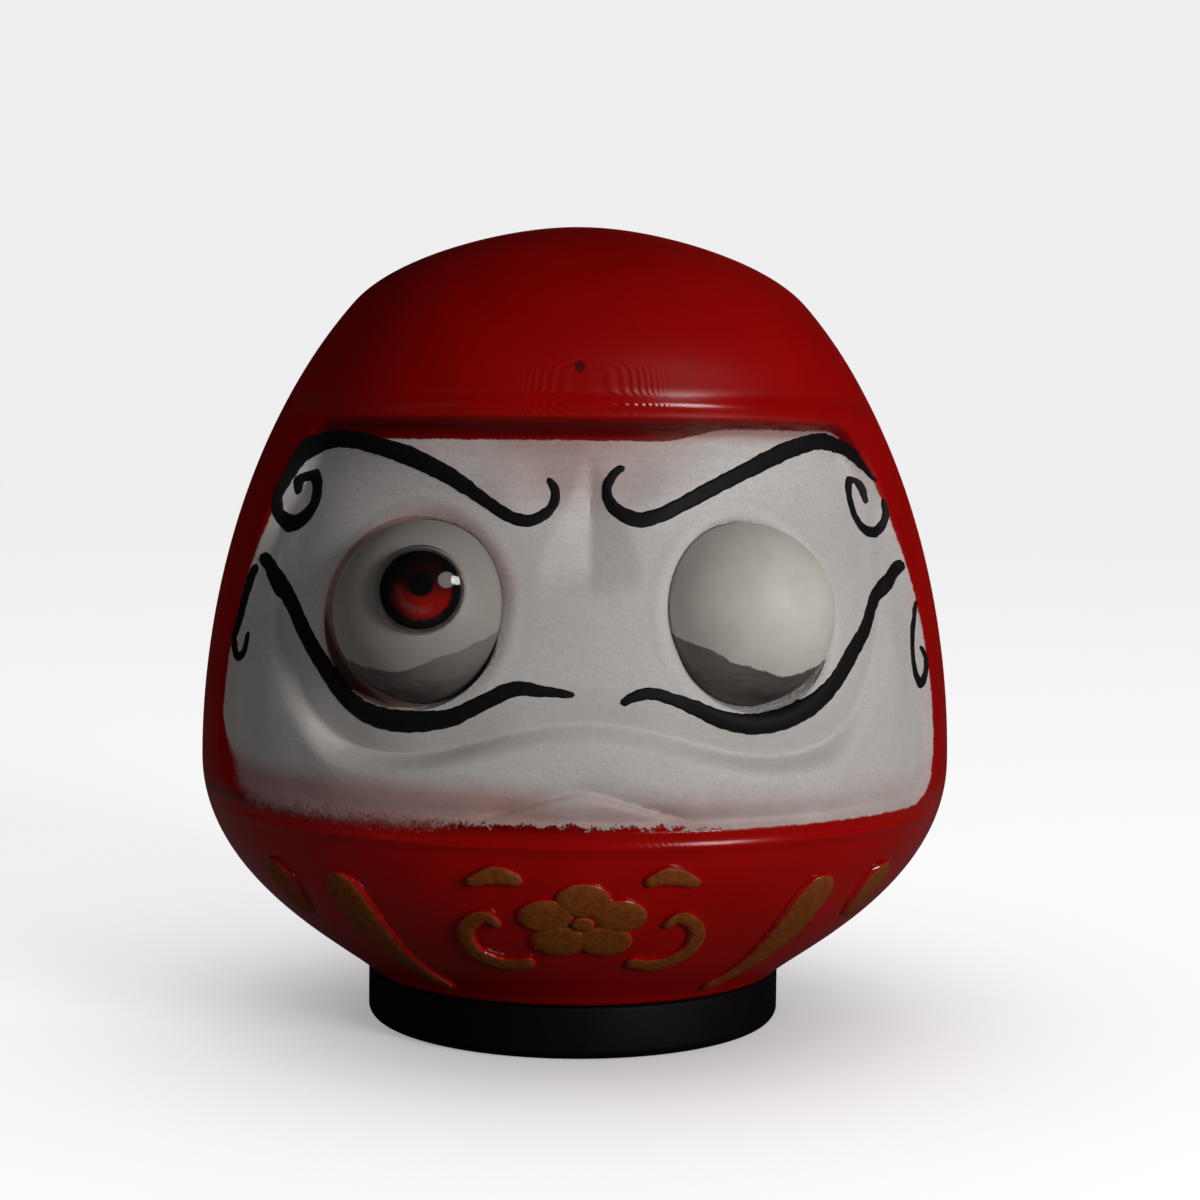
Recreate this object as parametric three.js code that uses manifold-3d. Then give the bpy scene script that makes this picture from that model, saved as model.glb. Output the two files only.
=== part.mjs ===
// Daruma doll: a hollow body in two printed halves on a round weighted foot, with inset eyes.
// Millimetres, +Z up. The face looks along -Y and the foot stands on Z = 0.
// A place on the body is given by its azimuth, in degrees from the front towards +X, and its height.
import * as THREE from 'three';
import { mergeVertices } from 'three/addons/utils/BufferGeometryUtils.js';
import Module from 'manifold-3d';

const wasm = await Module();
wasm.setup();

// ---- driving dimensions ----
const GAP = 0.3; // clearance between neighbouring pieces
const WALL = 2.8; // printed wall of the body

const BODY_RADIUS = 61.6;
const WAIST_HEIGHT = 44; // where the body is widest
const CROWN_HEIGHT = 130.4;
const HOOD_FRONT_RADIUS = 51.3; // the hood's front is fuller than its sides
const HOOD_FRONT_HEIGHT = 105;

const FOOT_RADIUS = 34.2;
const FOOT_HEIGHT = 8.4;
const FOOT_EDGE = 1.8; // rounding of the foot's lower edge
const SPIGOT_RADIUS = 29.5; // ring of the foot that enters the body
const SPIGOT_TOP = 13;
const FOOT_FLOOR = 2.6;
const BALLAST_RADIUS = 26;
const BALLAST_THICKNESS = 7;

const BODY_BASE = FOOT_HEIGHT + GAP;
const BASE_RADIUS = 34.2;

const FACE = {
  low: 39.8, high: 98.4, halfWidth: 68, corner: 9, sideEdge: 4.5, topEdge: 3.2, reach: 85,
};
const BROW_EDGE = { height: 100.4, depth: 0.5, spread: 1.6 };
const BELLY_LIP = { height: 37.4, depth: 0.6, spread: 1.3 };

const EYE = {
  azimuth: 26.3, height: 70, centreRadius: 52.6, ball: 13.4,
  socket: 13.7, mouth: 13.9, flare: 2, cup: 16.6, reach: 22,
};
const GAZE = { azimuth: -1, elevation: 18 };
const IRIS = { flat: 11.65, radius: 5.7, thickness: 0.6 };
const CORNEA = { radius: 6.5, wall: 0.6, rim: 0.3, dome: 2.1 };

const DOWEL = { radius: 2, length: 12, boss: 4.6, depth: 8 };
const DOWEL_PLACES = { upper: [40.2, 106], lower: [51.5, 30] }; // distance from the middle, height

const RELIEF = 1.0; // how far the painted relief stands out
const RELIEF_ROOT = 1.2; // how far it reaches into the wall

const FRONT_STEP = 5; // azimuth steps of the body mesh, degrees
const REAR_STEP = 10;
const BODY_ROWS = 36;
const CAVITY_STEP = 15;
const CAVITY_ROWS = 14;

// ---- materials ----
const paint = (color, roughness, metalness = 0) =>
  new THREE.MeshStandardMaterial({ color, roughness, metalness });
const redGloss = paint(0x8a0f0f, 0.25);
const blackMatte = paint(0x0c0a0a, 0.6);
const eyeWhite = paint(0xc9c5bb, 0.2);
const irisRed = paint(0x9c0d10, 0.3);
const steel = paint(0x8c8f92, 0.4, 1);
const pinWood = paint(0xb08a5a, 0.7);
const clearResin = paint(0xe8f0f4, 0.05);
clearResin.transparent = true;
clearResin.opacity = 0.3;

// ---- small helpers ----
const rad = THREE.MathUtils.degToRad;
const smooth = (x, low, high) => THREE.MathUtils.smoothstep(x, low, high);
const hump = (distance, spread) => Math.exp(-((distance / spread) ** 2));
const around = (radius, azimuth, z) =>
  new THREE.Vector3(radius * Math.sin(rad(azimuth)), -radius * Math.cos(rad(azimuth)), z);

// ---- the body's outer surface ----
function outline(...crownCurves) {
  const path = new THREE.Path();
  path.moveTo(BASE_RADIUS, BODY_BASE);
  path.bezierCurveTo(38, 13, BODY_RADIUS, 24, BODY_RADIUS, WAIST_HEIGHT);
  for (const curve of crownCurves) path.bezierCurveTo(...curve);
  return path.getPoints(60);
}

const sideOutline = outline(
  [BODY_RADIUS, 56.5, 59.6, 91, 37.3, 117.5],
  [30, 126.2, 9, CROWN_HEIGHT, 0, CROWN_HEIGHT],
);
const frontOutline = outline(
  [BODY_RADIUS, 65, HOOD_FRONT_RADIUS, 85, HOOD_FRONT_RADIUS, HOOD_FRONT_HEIGHT],
  [HOOD_FRONT_RADIUS, 117, 28, CROWN_HEIGHT, 0, CROWN_HEIGHT],
);

function outlineRadius(points, z) {
  const next = points.findIndex((p) => p.y >= z);
  if (next <= 0) return next < 0 ? 0 : points[0].x;
  const [a, b] = [points[next - 1], points[next]];
  return THREE.MathUtils.mapLinear(z, a.y, b.y, a.x, b.x);
}

// Distance inside the rounded outline of the face, in millimetres; negative outside it.
function insideFace(azimuth, z) {
  const middle = (FACE.low + FACE.high) / 2;
  const taper = 0.0055 * (z - 56) ** 2; // the face narrows towards the hood
  const across = (Math.abs(azimuth) / (66 - taper)) * FACE.halfWidth - FACE.halfWidth + FACE.corner;
  const upright = Math.abs(z - middle) - (FACE.high - FACE.low) / 2 + FACE.corner;
  const outside = Math.hypot(Math.max(across, 0), Math.max(upright, 0));
  return FACE.corner - outside - Math.min(Math.max(across, upright), 0);
}

// Height of the fold that runs from cheek to cheek under the eyes and over the upper lip.
function foldHeight(azimuth) {
  const beyond = Math.max(Math.abs(azimuth) - 30, 0);
  return 52 + 2.9 * Math.cos(rad(9 * azimuth)) + 0.07 * beyond ** 2;
}

function faceRelief(azimuth, z) {
  const side = Math.abs(azimuth);
  const nose = 1.3 * hump(azimuth, 4.5) * smooth(z, 66, 74) * smooth(z, 96, 86);
  const dent = -1.2 * hump(side - 6.5, 3.2) * hump(z - 78, 6);
  const browLine = 84 + 0.36 * side - 0.0018 * side ** 2;
  const brow = 1.5 * hump(z - browLine, 4.5) * smooth(side, 4, 14) * smooth(side, 58, 48);
  const below = foldHeight(azimuth) - z;
  const foldReach = smooth(side, 44, 34);
  const fold = -1.7 * foldReach * (below < 0 ? hump(below, 6) : hump(below, 2));
  const lip = 1.3 * smooth(below, 0.5, 4) * smooth(z, 40, 44) * smooth(side, 55, 30);
  const cheek = 1.0 * hump(side - 51, 6) * hump(z - 64, 9);
  return nose + dent + brow + fold + lip + cheek;
}

function bodyRadius(azimuth, z) {
  const frontness = Math.max(Math.cos(rad(azimuth)), 0) ** 2;
  const side = outlineRadius(sideOutline, z);
  const base = side + (outlineRadius(frontOutline, z) - side) * frontness;
  if (Math.abs(azimuth) > FACE.reach) return base;
  const edge = THREE.MathUtils.lerp(FACE.sideEdge, FACE.topEdge, smooth(z, 84, 94));
  const inset = smooth(insideFace(azimuth, z), 0, edge);
  const sunk = 1.2 + 2.6 * smooth(z, 72, 95);
  const fade = smooth(Math.abs(azimuth), 78, 55);
  const browEdge = BROW_EDGE.depth * hump(z - BROW_EDGE.height, BROW_EDGE.spread) * fade;
  const bellyLip = BELLY_LIP.depth * hump(z - BELLY_LIP.height, BELLY_LIP.spread) * fade;
  return base + browEdge + bellyLip + inset * (faceRelief(azimuth, z) - sunk);
}

// ---- solids ----
function solid(geometry) {
  const bare = geometry.clone();
  bare.deleteAttribute('normal');
  bare.deleteAttribute('uv');
  const merged = mergeVertices(bare, 1e-4);
  return new wasm.Manifold(new wasm.Mesh({
    numProp: 3,
    vertProperties: new Float32Array(merged.attributes.position.array),
    triVerts: new Uint32Array(merged.index.array),
  }));
}

function geometryOf(manifold) {
  const mesh = manifold.getMesh();
  const geometry = new THREE.BufferGeometry();
  geometry.setAttribute('position', new THREE.BufferAttribute(mesh.vertProperties, 3));
  geometry.setIndex(new THREE.BufferAttribute(mesh.triVerts, 1));
  geometry.computeVertexNormals();
  return geometry;
}

// A closed mesh through rings of points, all with the same count. Each end closes on a point,
// by default the middle of its ring.
function skin(rings, tip = null) {
  const count = rings[0].length;
  const middle = (ring) =>
    ring.reduce((sum, p) => sum.add(p), new THREE.Vector3()).divideScalar(count);
  const points = [...rings.flat(), middle(rings[0]), tip ?? middle(rings.at(-1))];
  const first = points.length - 2;
  const last = first + 1;
  const faces = [];
  for (let i = 0; i < count; i++) {
    const j = (i + 1) % count;
    faces.push(first, j, i);
    for (let k = 0; k + 1 < rings.length; k++) {
      const [a, b] = [k * count, (k + 1) * count];
      faces.push(a + i, a + j, b + j, a + i, b + j, b + i);
    }
    const top = (rings.length - 1) * count;
    faces.push(top + i, top + j, last);
  }
  const geometry = new THREE.BufferGeometry().setFromPoints(points);
  geometry.setIndex(faces);
  return geometry;
}

function cylinder(radius, from, to, segments = 24) {
  const geometry = new THREE.CylinderGeometry(radius, radius, to - from, segments);
  return geometry.translate(0, (from + to) / 2, 0);
}

function box(low, high) {
  const size = high.map((v, i) => v - low[i]);
  const centre = high.map((v, i) => (v + low[i]) / 2);
  return new THREE.BoxGeometry(...size).translate(...centre);
}

// Turns a geometry built about +Y so that it stands on a point and points along a direction.
function aimed(geometry, origin, direction) {
  const turn = new THREE.Quaternion().setFromUnitVectors(new THREE.Vector3(0, 1, 0), direction);
  return geometry.applyQuaternion(turn).translate(origin.x, origin.y, origin.z);
}

// ---- body shells ----
function azimuths(frontStep, rearStep) {
  const list = [];
  for (let a = -90; a < 90; a += frontStep) list.push(a);
  for (let a = 90; a < 270; a += rearStep) list.push(a > 180 ? a - 360 : a);
  return list;
}

// Rows close up towards the crown, where the surface flattens.
function rowHeights(rows, extra = []) {
  const heights = [...extra];
  for (let i = 0; i < rows; i++) {
    const z = BODY_BASE + (CROWN_HEIGHT - BODY_BASE) * Math.sin((i / rows) * (Math.PI / 2));
    if (extra.every((e) => Math.abs(e - z) > 1)) heights.push(z);
  }
  return heights.sort((a, b) => a - b);
}

function bodySolid() {
  const columns = azimuths(FRONT_STEP, REAR_STEP);
  const browRows = [FACE.high - FACE.topEdge, FACE.high - 1.6, FACE.high, BROW_EDGE.height];
  const rows = rowHeights(BODY_ROWS, browRows);
  const rings = rows.map((z) => columns.map((a) => around(bodyRadius(a, z), a, z)));
  return solid(skin(rings, new THREE.Vector3(0, 0, CROWN_HEIGHT)));
}

function cavitySolid() {
  const columns = azimuths(CAVITY_STEP, CAVITY_STEP * 2);
  const top = CROWN_HEIGHT - WALL;
  const rows = rowHeights(CAVITY_ROWS).map((z) => THREE.MathUtils.mapLinear(
    z, BODY_BASE, CROWN_HEIGHT, BODY_BASE + WALL, top));
  const inner = (a, z) => {
    const outer = bodyRadius(a, THREE.MathUtils.mapLinear(
      z, BODY_BASE + WALL, top, BODY_BASE, CROWN_HEIGHT));
    return Math.max(outer - WALL * 1.15, 0.8);
  };
  return solid(skin(rows.map((z) => columns.map((a) => around(inner(a, z), a, z)))));
}

function footOpening() {
  const drum = cylinder(SPIGOT_RADIUS + GAP, 0, SPIGOT_TOP + GAP, 40);
  return solid(aimed(drum, new THREE.Vector3(), new THREE.Vector3(0, 0, 1)));
}

const eyeAxis = (side) => around(1, side * EYE.azimuth, 0);
const eyeCentre = (side) => around(EYE.centreRadius, side * EYE.azimuth, EYE.height);

// A round-bottomed cup along the eye's axis, wider at its mouth, long enough to pass through the face.
function eyeCup(side, radius, mouth) {
  const profile = new THREE.Path();
  profile.moveTo(0, -radius);
  profile.absarc(0, 0, radius, -Math.PI / 2, 0, false);
  profile.lineTo(mouth, EYE.flare);
  profile.lineTo(mouth, EYE.reach);
  profile.lineTo(0, EYE.reach);
  const lathe = new THREE.LatheGeometry(profile.getPoints(5), 24);
  return solid(aimed(lathe, eyeCentre(side), eyeAxis(side)));
}

function dowelBoss(x, z) {
  const boss = cylinder(DOWEL.boss, -DOWEL.depth, DOWEL.depth, 20);
  return solid(boss.translate(x, 0, z));
}

function dowelHole(x, z) {
  const reach = DOWEL.length / 2 + GAP;
  return solid(cylinder(DOWEL.radius + GAP, -reach, reach, 16).translate(x, 0, z));
}

const dowelSpots = ['upper', 'lower'].flatMap((level) => [-1, 1].map((side) => {
  const [x, z] = DOWEL_PLACES[level];
  return { name: `dowel_${level}_${side < 0 ? 'left' : 'right'}`, x: side * x, z };
}));

// ---- raised ornament on the belly ----
// A brush stroke along [azimuth, height, width] points, standing out of the body.
function strokeSolid(points) {
  const line = new THREE.CatmullRomCurve3(points.map((p) => new THREE.Vector3(...p)));
  const steps = 2 * points.length;
  const rings = [];
  for (let i = 0; i <= steps; i++) {
    const at = line.getPoint(i / steps);
    const ahead = line.getPoint(Math.min(i / steps + 0.01, 1));
    const behind = line.getPoint(Math.max(i / steps - 0.01, 0));
    const scale = bodyRadius(at.x, at.y) * rad(1); // millimetres in a degree of azimuth
    const run = new THREE.Vector2((ahead.x - behind.x) * scale, ahead.y - behind.y).normalize();
    const endTaper = Math.sqrt(Math.min(1, 0.12 + 2.4 * Math.min(i, steps - i) / steps));
    const half = (at.z / 2) * endTaper;
    const section = [[1.1, -RELIEF_ROOT], [-1.1, -RELIEF_ROOT], [-1, RELIEF * 0.5],
      [-0.6, RELIEF], [0.6, RELIEF], [1, RELIEF * 0.5]];
    rings.push(section.map(([across, out]) => {
      const azimuth = at.x + (run.y * half * across) / scale;
      const z = at.y - run.x * half * across;
      return around(bodyRadius(azimuth, z) + out, azimuth, z);
    }));
  }
  return solid(skin(rings));
}

const GOLD_STROKES = [
  [[38.5, 31.5, 6], [38, 27, 7.2], [37.5, 22, 7], [37, 17, 5.2], [34.5, 12.8, 3]],
  [[53.5, 31.5, 5], [53, 28, 6], [54, 23, 3.4]],
];

// The belly motif is a plum blossom between two curling sprigs. Its own axes run across and up
// the sloping belly, in millimetres from its centre.
const MOTIF = { height: 25.5, slope: 0.7, petals: 5, petalAt: 5.6, petal: 4.3, heart: 1.9 };
const SPRIG = [[6.5, -10.5, 2.2], [11.5, -11.5, 2.8], [16, -8, 3], [17, -2.5, 2.6],
  [14, 1.2, 2.2], [11.8, -1.6, 1.6]];
const LEAF = [[8.5, 9.4, 1.6], [12.5, 11, 3.2], [17, 8.8, 1.4]];

function onBelly(across, up) {
  const z = MOTIF.height + up * MOTIF.slope;
  return [THREE.MathUtils.radToDeg(across / bodyRadius(0, z)), z];
}

function discSolid(across, up, radius, rise) {
  const sides = 10;
  const ring = (size, out) => Array.from({ length: sides }, (_, i) => {
    const turn = (i / sides) * 2 * Math.PI;
    const [azimuth, z] = onBelly(across + size * Math.cos(turn), up + size * Math.sin(turn));
    return around(bodyRadius(azimuth, z) + out, azimuth, z);
  });
  return solid(skin([ring(radius, -RELIEF_ROOT), ring(radius, rise * 0.5), ring(radius * 0.8, rise)]));
}

function ornament() {
  const pieces = [discSolid(0, 0, MOTIF.heart, RELIEF * 1.4)];
  for (let i = 0; i < MOTIF.petals; i++) {
    const turn = Math.PI / 2 + (i / MOTIF.petals) * 2 * Math.PI;
    const [across, up] = [MOTIF.petalAt * Math.cos(turn), MOTIF.petalAt * Math.sin(turn)];
    pieces.push(discSolid(across, up, MOTIF.petal, RELIEF));
  }
  for (const side of [-1, 1]) {
    for (const stroke of GOLD_STROKES) {
      pieces.push(strokeSolid(stroke.map(([azimuth, z, width]) => [side * azimuth, z, width])));
    }
    for (const stroke of [SPRIG, LEAF]) {
      pieces.push(strokeSolid(stroke.map(([across, up, width]) => [...onBelly(side * across, up), width])));
    }
  }
  return pieces;
}

// ---- shells ----
function shells() {
  let cavity = cavitySolid();
  for (const { x, z } of dowelSpots) cavity = cavity.subtract(dowelBoss(x, z));
  for (const side of [-1, 1]) cavity = cavity.subtract(eyeCup(side, EYE.cup, EYE.cup));
  let hollow = bodySolid().subtract(cavity);
  for (const piece of ornament()) hollow = hollow.add(piece);
  hollow = hollow.subtract(footOpening());
  for (const { x, z } of dowelSpots) hollow = hollow.subtract(dowelHole(x, z));
  for (const side of [-1, 1]) hollow = hollow.subtract(eyeCup(side, EYE.socket, EYE.mouth));
  const reach = 2 * CROWN_HEIGHT;
  const frontHalf = solid(box([-reach, -reach, -reach], [reach, -GAP / 2, reach]));
  const rearHalf = solid(box([-reach, GAP / 2, -reach], [reach, reach, reach]));
  return { front: hollow.intersect(frontHalf), rear: hollow.intersect(rearHalf) };
}

// ---- foot and ballast ----
function footGeometry() {
  const profile = new THREE.Path();
  profile.moveTo(0, 0);
  profile.lineTo(FOOT_RADIUS - FOOT_EDGE, 0);
  profile.absarc(FOOT_RADIUS - FOOT_EDGE, FOOT_EDGE, FOOT_EDGE, -Math.PI / 2, 0, false);
  profile.lineTo(FOOT_RADIUS, FOOT_HEIGHT);
  profile.lineTo(SPIGOT_RADIUS, FOOT_HEIGHT);
  profile.lineTo(SPIGOT_RADIUS, SPIGOT_TOP);
  profile.lineTo(BALLAST_RADIUS + GAP, SPIGOT_TOP);
  profile.lineTo(BALLAST_RADIUS + GAP, FOOT_FLOOR);
  profile.lineTo(0, FOOT_FLOOR);
  return new THREE.LatheGeometry(profile.getPoints(3), 40).rotateX(Math.PI / 2);
}

function ballastGeometry() {
  const from = FOOT_FLOOR + GAP;
  return cylinder(BALLAST_RADIUS, from, from + BALLAST_THICKNESS, 32).rotateX(Math.PI / 2);
}

// ---- eyes ----
function gazeDirection() {
  const level = around(Math.cos(rad(GAZE.elevation)), GAZE.azimuth, 0);
  return level.setZ(Math.sin(rad(GAZE.elevation)));
}

function latheOnGaze(points, segments = 22) {
  const path = points.map(([r, y]) => new THREE.Vector2(r, y));
  return aimed(new THREE.LatheGeometry(path, segments), new THREE.Vector3(), gazeDirection());
}

// Points on a circle about the gaze axis, from one angle to another, in degrees up from the side.
function arc(radius, from, to, steps, centreY = 0) {
  return Array.from({ length: steps + 1 }, (_, i) => {
    const angle = rad(from + ((to - from) * i) / steps);
    return [radius * Math.cos(angle), centreY + radius * Math.sin(angle)];
  });
}

function seatedBall() {
  const flatAngle = THREE.MathUtils.radToDeg(Math.asin(IRIS.flat / EYE.ball));
  const round = arc(EYE.ball, -90, flatAngle, 10).slice(1);
  return latheOnGaze([[0, -EYE.ball], ...round, [0, IRIS.flat]]);
}

function irisDisc() {
  const low = IRIS.flat + GAP;
  const high = low + IRIS.thickness;
  return latheOnGaze([[0, low], [IRIS.radius, low], [IRIS.radius, high], [0, high]]);
}

// A watch-glass cap that covers the iris and rests on the ball's flat.
function corneaCap() {
  const low = IRIS.flat + GAP;
  const roof = low + IRIS.thickness + GAP;
  const inner = CORNEA.radius - CORNEA.wall;
  const rim = roof + CORNEA.rim;
  const domeRadius = (CORNEA.radius ** 2 + CORNEA.dome ** 2) / (2 * CORNEA.dome);
  const centreY = rim + CORNEA.dome - domeRadius;
  const start = THREE.MathUtils.radToDeg(Math.acos(CORNEA.radius / domeRadius));
  const dome = arc(domeRadius, start, 90, 4, centreY).slice(0, -1);
  return latheOnGaze([[0, roof], [inner, roof], [inner, low], [CORNEA.radius, low], ...dome,
    [0, rim + CORNEA.dome]]);
}

// ---- assembly ----
const doll = new THREE.Group();

function place(name, geometry, material, position = new THREE.Vector3()) {
  const mesh = new THREE.Mesh(geometry, material);
  mesh.name = name;
  mesh.position.copy(position);
  doll.add(mesh);
}

const { front, rear } = shells();
place('front_shell', geometryOf(front), redGloss);
place('rear_shell', geometryOf(rear), redGloss);
place('foot', footGeometry(), blackMatte);
place('ballast_disc', ballastGeometry(), steel);
for (const { name, x, z } of dowelSpots) {
  const pin = cylinder(DOWEL.radius, -DOWEL.length / 2, DOWEL.length / 2, 16);
  place(name, pin, pinWood, new THREE.Vector3(x, 0, z));
}
place('eye_ball_left', seatedBall(), eyeWhite, eyeCentre(-1));
place('iris_left', irisDisc(), irisRed, eyeCentre(-1));
place('cornea_left', corneaCap(), clearResin, eyeCentre(-1));
place('eye_ball_right', new THREE.SphereGeometry(EYE.ball, 22, 12), eyeWhite, eyeCentre(1));

export default doll;
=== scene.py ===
# Daruma doll: fine shells, paint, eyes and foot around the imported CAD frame.
# The model's own measures are in millimetres and degrees, turned to metres when a mesh is made.
# A place on the body is (azimuth, height): degrees from the front towards +X, and millimetres up.
# Sides are the viewer's: -1 or left is towards -X, and 1 or right is towards +X.
import math

import bpy
import numpy as np
from mathutils import Matrix, Vector, noise


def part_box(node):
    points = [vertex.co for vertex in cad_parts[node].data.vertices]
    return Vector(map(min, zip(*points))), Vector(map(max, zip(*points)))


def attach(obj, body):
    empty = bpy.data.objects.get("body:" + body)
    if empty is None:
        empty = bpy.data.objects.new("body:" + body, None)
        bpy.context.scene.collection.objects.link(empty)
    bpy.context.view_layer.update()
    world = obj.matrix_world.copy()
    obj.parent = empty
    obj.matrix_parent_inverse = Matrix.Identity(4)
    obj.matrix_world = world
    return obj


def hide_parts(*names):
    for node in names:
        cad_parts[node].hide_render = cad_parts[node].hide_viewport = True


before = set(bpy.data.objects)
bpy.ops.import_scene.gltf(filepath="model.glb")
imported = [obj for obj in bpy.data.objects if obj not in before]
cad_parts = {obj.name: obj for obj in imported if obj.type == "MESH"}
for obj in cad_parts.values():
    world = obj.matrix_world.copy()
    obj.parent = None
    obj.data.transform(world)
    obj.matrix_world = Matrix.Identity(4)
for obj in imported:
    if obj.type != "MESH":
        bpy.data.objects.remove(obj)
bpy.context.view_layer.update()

MM = 0.001


def in_mm(node):
    """A CAD node's lowest and highest corners."""
    low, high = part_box(node)
    return np.array(low) / MM, np.array(high) / MM


# ---- sizes taken from the frame ----
SHELL_LOW, SHELL_HIGH = in_mm("front_shell")
BALL_LOW, BALL_HIGH = in_mm("eye_ball_right")
FOOT_RADIUS, _, FOOT_TOP = in_mm("foot")[1]
GAP = -2 * SHELL_HIGH[1]  # between the two CAD shells, and between any other two solids
BODY_BASE = SHELL_LOW[2]
CROWN_HEIGHT = SHELL_HIGH[2]
FOOT_HEIGHT = BODY_BASE - GAP
EYE_CENTRE = (BALL_LOW + BALL_HIGH) / 2
EYE_AZIMUTH = math.degrees(math.atan2(EYE_CENTRE[0], -EYE_CENTRE[1]))
EYE_HEIGHT = EYE_CENTRE[2]
EYE_CENTRE_RADIUS = math.hypot(EYE_CENTRE[0], EYE_CENTRE[1])
BALL_RADIUS = max(BALL_HIGH - BALL_LOW) / 2

# ---- sizes shared with the CAD part ----
BODY_RADIUS = 61.6
WALL = 2.8
BASE_RADIUS = 34.2
WAIST_HEIGHT = 44
HOOD_FRONT_RADIUS = 51.3
HOOD_FRONT_HEIGHT = 105
FACE_LOW, FACE_HIGH, FACE_HALF_WIDTH, FACE_CORNER = 39.8, 98.4, 68, 9
FACE_SIDE_EDGE, FACE_TOP_EDGE, FACE_LOW_EDGE = 4.5, 3.0, 1.6
FACE_REACH = 85  # degrees from the front, beyond which there is no face
FACE_RADIUS = 57  # of the body round the eyes
FROWN_DEPTH, BROW_RISE, CHEEK_RISE = 2.1, 1.3, 0.6
FOLD_DEPTH, LIP_RISE, MOUTH_DEPTH = 2.9, 0.9, 1.2
SOCKET_RADIUS, CUP_RADIUS, CUP_REACH = 13.9, 16.6, 22
BALL_CLEARANCE = 0.1
LEDGE_SHIFT = 1.8  # the left socket opens wider towards the temple
SPIGOT_RADIUS, SPIGOT_WALL = 29.5, 3.2
FOOT_EDGE, FOOT_TOP_EDGE, FOOT_FLOOR = 1.8, 0.5, 2.6
GAZE_AZIMUTH, GAZE_ELEVATION = -1, 18
IRIS_FLAT, IRIS_RADIUS, IRIS_DOME = 11.65, 5.7, 0.15
CORNEA_RADIUS, CORNEA_DOME, CORNEA_ROOM, CORNEA_WALL, CORNEA_EDGE = 6.5, 2.1, 0.9, 0.6, 0.7
RELIEF, RELIEF_ROOT = 1.0, 0.8
INK_HEIGHT, INK_ROOT = 0.22, 0.4
DOME_POWER = 1 / 2.2  # rounds the tops of strokes and petals
MOTIF_HEIGHT, MOTIF_SLOPE = 25.5, 0.7

# ---- mesh density ----
FRONT_COLUMNS = 280
FRONT_ROWS = 300
REAR_COLUMNS, REAR_ROWS = 120, 110


# ---- the body's outer surface ----
def smooth(x, low, high):
    """0 at low and 1 at high, eased; low may be the larger of the two."""
    t = np.clip((x - low) / (high - low), 0, 1)
    return t * t * (3 - 2 * t)


def hump(distance, spread):
    """1 at no distance, falling away over spread."""
    return np.exp(-((distance / spread) ** 2))


def bezier(a, b, c, d, steps=160):
    t = np.linspace(0, 1, steps)[:, None]
    a, b, c, d = (np.array(p, float) for p in (a, b, c, d))
    return (1 - t) ** 3 * a + 3 * (1 - t) ** 2 * t * b + 3 * (1 - t) * t**2 * c + t**3 * d


BELLY = bezier((BASE_RADIUS, BODY_BASE), (38, 13), (BODY_RADIUS, 24), (BODY_RADIUS, WAIST_HEIGHT))
SHOULDER = (37.3, 117.5)
SIDE = np.vstack([
    BELLY,
    bezier((BODY_RADIUS, WAIST_HEIGHT), (BODY_RADIUS, 56.5), (59.6, 91), SHOULDER)[1:],
    bezier(SHOULDER, (30, 126.2), (9, CROWN_HEIGHT), (0, CROWN_HEIGHT))[1:],
])
HOOD_FRONT = (HOOD_FRONT_RADIUS, HOOD_FRONT_HEIGHT)
FRONT = np.vstack([
    BELLY,
    bezier((BODY_RADIUS, WAIST_HEIGHT), (BODY_RADIUS, 65), (HOOD_FRONT_RADIUS, 85), HOOD_FRONT)[1:],
    bezier(HOOD_FRONT, (HOOD_FRONT_RADIUS, 117), (28, CROWN_HEIGHT), (0, CROWN_HEIGHT))[1:],
])


def inside_face(azimuth, z):
    """Distance inside the rounded outline of the face, negative outside it."""
    middle = (FACE_LOW + FACE_HIGH) / 2
    taper = 0.0055 * (z - 56) ** 2
    across = (np.abs(azimuth) / (66 - taper) - 1) * FACE_HALF_WIDTH + FACE_CORNER
    upright = np.abs(z - middle) - (FACE_HIGH - FACE_LOW) / 2 + FACE_CORNER
    outside = np.hypot(np.maximum(across, 0), np.maximum(upright, 0))
    return FACE_CORNER - outside - np.minimum(np.maximum(across, upright), 0)


def fold_height(side):
    """Height of the fold that runs from cheek to cheek over the upper lip, by angle from the middle."""
    return 52.3 + 2.7 * np.cos(np.radians(6.2 * side)) + 0.055 * np.maximum(side - 36, 0) ** 2


def crease(below, above_reach, below_reach):
    """1 in a sharp fold, easing away from it on both sides."""
    return np.exp(np.minimum(below, 0) / above_reach - (np.maximum(below, 0) / below_reach) ** 1.5)


def frown(azimuth, z):
    """A notch between the brows: a sharp valley that widens downward and ends over the nose."""
    half_width = 2 + 6 * smooth(z, 92, 76)
    across = np.abs(azimuth - 0.7) / half_width
    return -FROWN_DEPTH * np.maximum(1 - across, 0) ** 1.2 * smooth(z, 72, 77) * smooth(z, 94, 82)


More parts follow.
